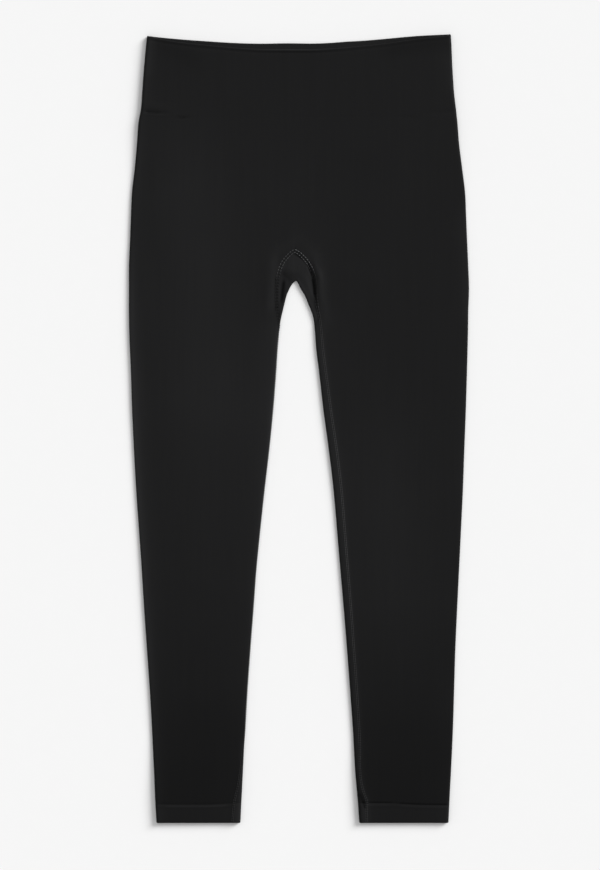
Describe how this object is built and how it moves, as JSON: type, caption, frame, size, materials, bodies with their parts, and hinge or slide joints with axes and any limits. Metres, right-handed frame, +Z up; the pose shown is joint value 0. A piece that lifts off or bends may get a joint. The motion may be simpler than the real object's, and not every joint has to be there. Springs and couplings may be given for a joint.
{
  "type": "leggings",
  "caption": "High-waist seamless knit leggings laid flat, front up: hip tube, doubled waistband, tapered legs, crotch gusset and turned hems.",
  "frame": {"origin": "on the surface that the back lies on, under the middle of the garment's outline", "axes": "+X to the wearer's left, +Y towards the waist, +Z up from the surface, out of the front"},
  "size_m": [0.3802, 0.881, 0.0052],
  "materials": {
    "body_knit": "matt fine knit",
    "leg_knit": "matt fine knit",
    "waistband_knit": "matt fine knit, doubled",
    "gusset_knit": "matt plain knit, twin stitched round its edge",
    "hem_knit": "matt fine knit, turned and stitched"
  },
  "bodies": {
    "root": {"body": "body_knit", "leg_right": "leg_knit", "leg_left": "leg_knit", "waistband": "waistband_knit", "gusset": "gusset_knit", "hem_right": "hem_knit", "hem_left": "hem_knit"}
  },
  "joints": []
}
